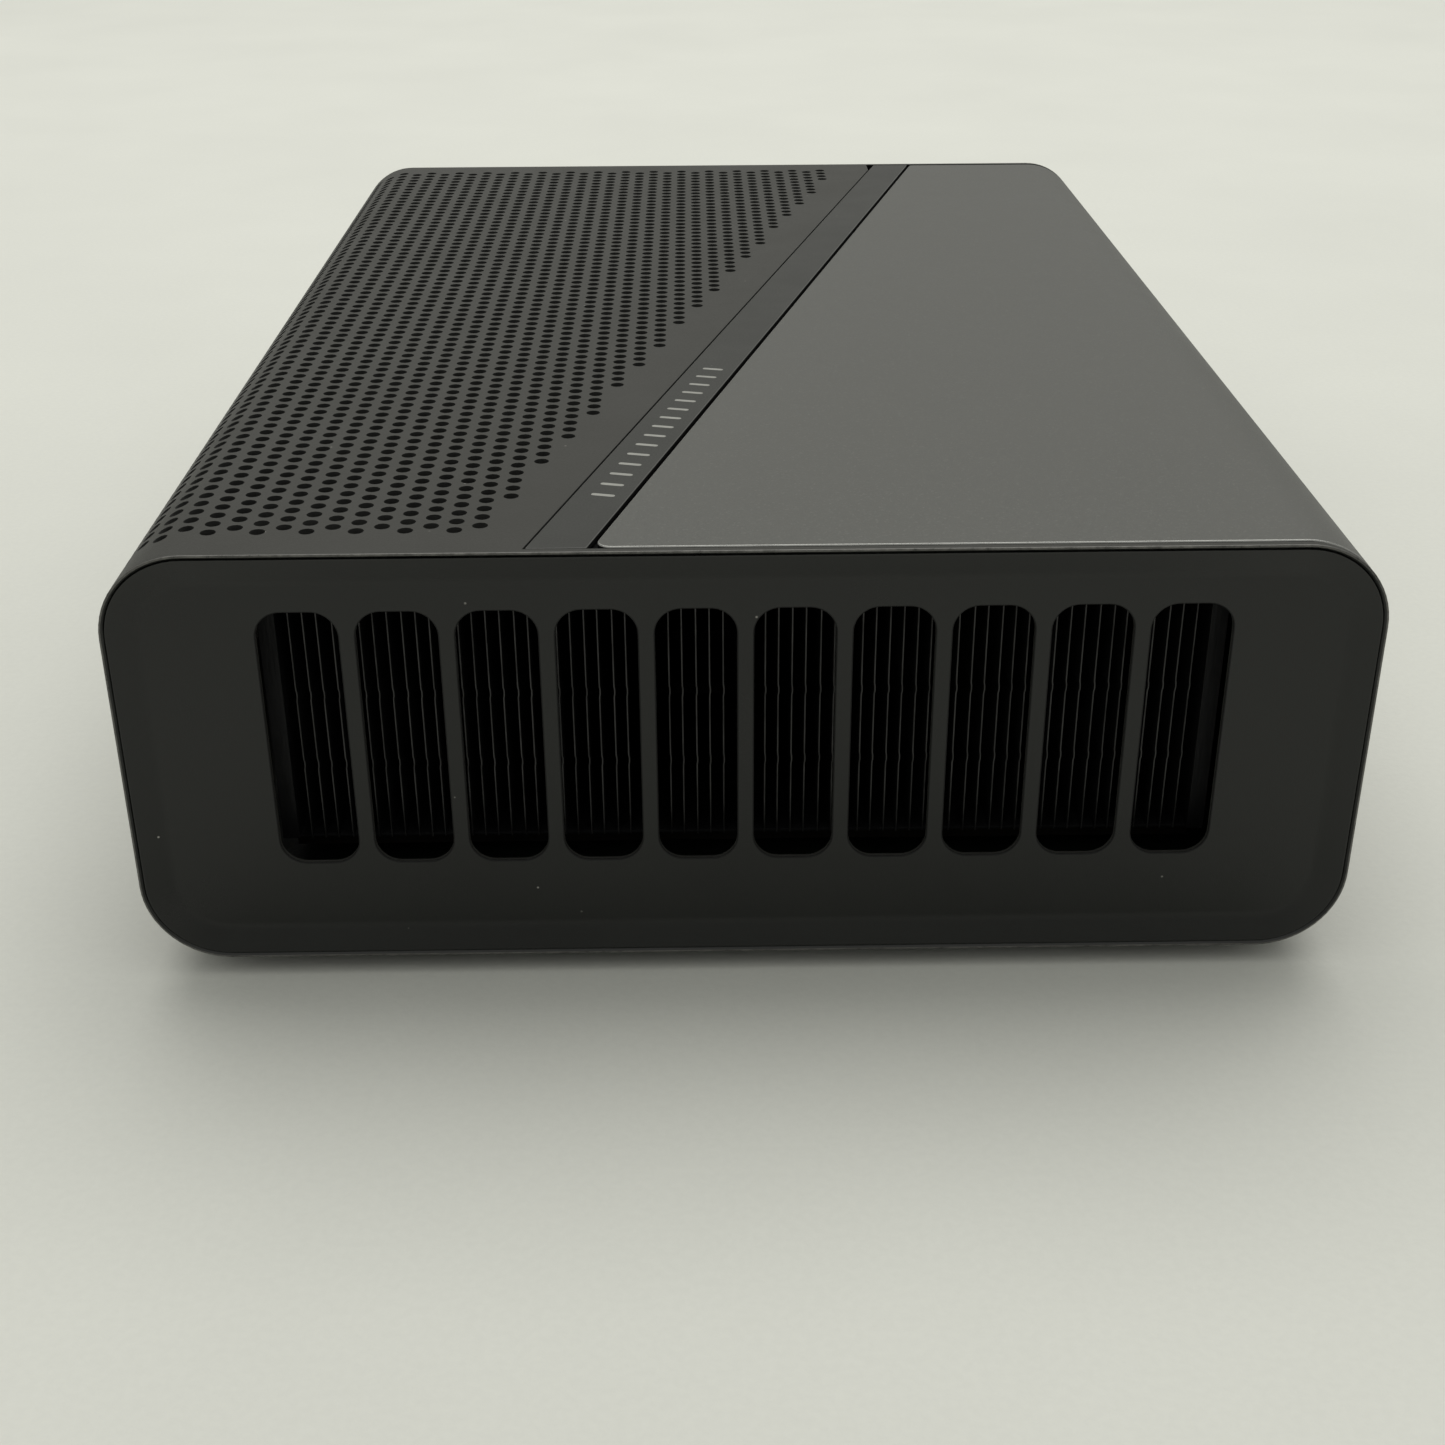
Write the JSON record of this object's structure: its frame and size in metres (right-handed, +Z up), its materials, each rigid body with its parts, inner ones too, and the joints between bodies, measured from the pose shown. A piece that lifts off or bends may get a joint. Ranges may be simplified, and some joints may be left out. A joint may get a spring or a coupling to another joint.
{
  "type": "external graphics dock",
  "caption": "Low rounded box that houses a graphics card: dished exhaust end with upright slots, perforated top with a diagonal strip and metal inlay, rear panel of sockets.",
  "frame": {"origin": "centre of the footprint, on the surface that the four rubber feet stand on", "axes": "+Z up, +Y from the slotted exhaust end to the socket end, +X to the right seen from the exhaust end"},
  "size_m": [0.11, 0.157, 0.042],
  "materials": {
    "shell_paint": "fine matt dark bronze-grey",
    "bezel_plastic": "fine matt near-black",
    "inlay_metal": "satin, bead blasted, with a bright cut edge",
    "strip_plastic": "smooth satin",
    "panel_plastic": "fine matt black",
    "foot_rubber": "matt",
    "black_steel": "black zinc",
    "spacer_brass": "turned",
    "board_laminate": "solder mask over glass laminate",
    "chip_epoxy": "moulded epoxy",
    "pad_silicone": "soft filled silicone",
    "choke_ferrite": "pressed ferrite",
    "capacitor_can": "bright can",
    "socket_steel": "nickel plated",
    "socket_plastic": "moulded",
    "light_resin": "clear to milky",
    "bracket_steel": "stamped sheet",
    "chamber_copper": "bare copper",
    "fin_metal": "thin dark sheet",
    "fan_plastic": "moulded black"
  },
  "bodies": {
    "housing": {"outer_sleeve": "shell_paint", "front_bezel": "bezel_plastic", "inlay_plate": "inlay_metal", "diagonal_strip": "strip_plastic", "rear_panel": "panel_plastic", "foot_front_left": "foot_rubber", "foot_front_right": "foot_rubber", "foot_rear_left": "foot_rubber", "foot_rear_right": "foot_rubber", "rear_screw_1": "black_steel", "rear_screw_2": "black_steel", "rear_screw_3": "black_steel", "rear_screw_4": "black_steel", "base_screw_1": "black_steel", "base_screw_2": "black_steel", "base_screw_3": "black_steel", "base_screw_4": "black_steel", "cooler_screw_1": "black_steel", "cooler_screw_2": "black_steel", "cooler_screw_3": "black_steel", "cooler_screw_4": "black_steel", "board_spacer_1": "spacer_brass", "board_spacer_2": "spacer_brass", "board_spacer_3": "spacer_brass", "board_spacer_4": "spacer_brass", "main_board": "board_laminate", "gpu_package": "chip_epoxy", "memory_chip_1": "chip_epoxy", "memory_chip_2": "chip_epoxy", "memory_chip_3": "chip_epoxy", "memory_chip_4": "chip_epoxy", "link_controller": "chip_epoxy", "thermal_pad_left": "pad_silicone", "thermal_pad_right": "pad_silicone", "power_choke_1": "choke_ferrite", "power_choke_2": "choke_ferrite", "power_choke_3": "choke_ferrite", "power_choke_4": "choke_ferrite", "bulk_capacitor_1": "capacitor_can", "bulk_capacitor_2": "capacitor_can", "bulk_capacitor_3": "capacitor_can", "displayport_stack": "socket_steel", "hdmi_stack": "socket_steel", "usb_c_socket": "socket_steel", "oculink_socket": "socket_steel", "dc_inlet": "socket_plastic", "tact_switch": "socket_plastic", "status_light_pipe": "light_resin", "spring_backplate": "bracket_steel", "fan_cover": "bracket_steel", "vapor_chamber": "chamber_copper", "motor_stator": "chamber_copper", "fin_stack": "fin_metal", "fan_case": "fan_plastic"},
    "fan_rotor": {"fan_rotor": "fan_plastic"},
    "power_button": {"power_button": "panel_plastic"}
  },
  "joints": [
    {"name": "fan_spin", "type": "hinge", "parent": "housing", "child": "fan_rotor", "pos_m": [-0.004, -0.0065, 0.03], "axis": [0, 0, 1], "continuous": true},
    {"name": "power_button_press", "type": "slide", "parent": "housing", "child": "power_button", "axis": [0, -1, 0], "range_m": [0, 0.0005], "stiffness_N_per_m": 2400}
  ]
}
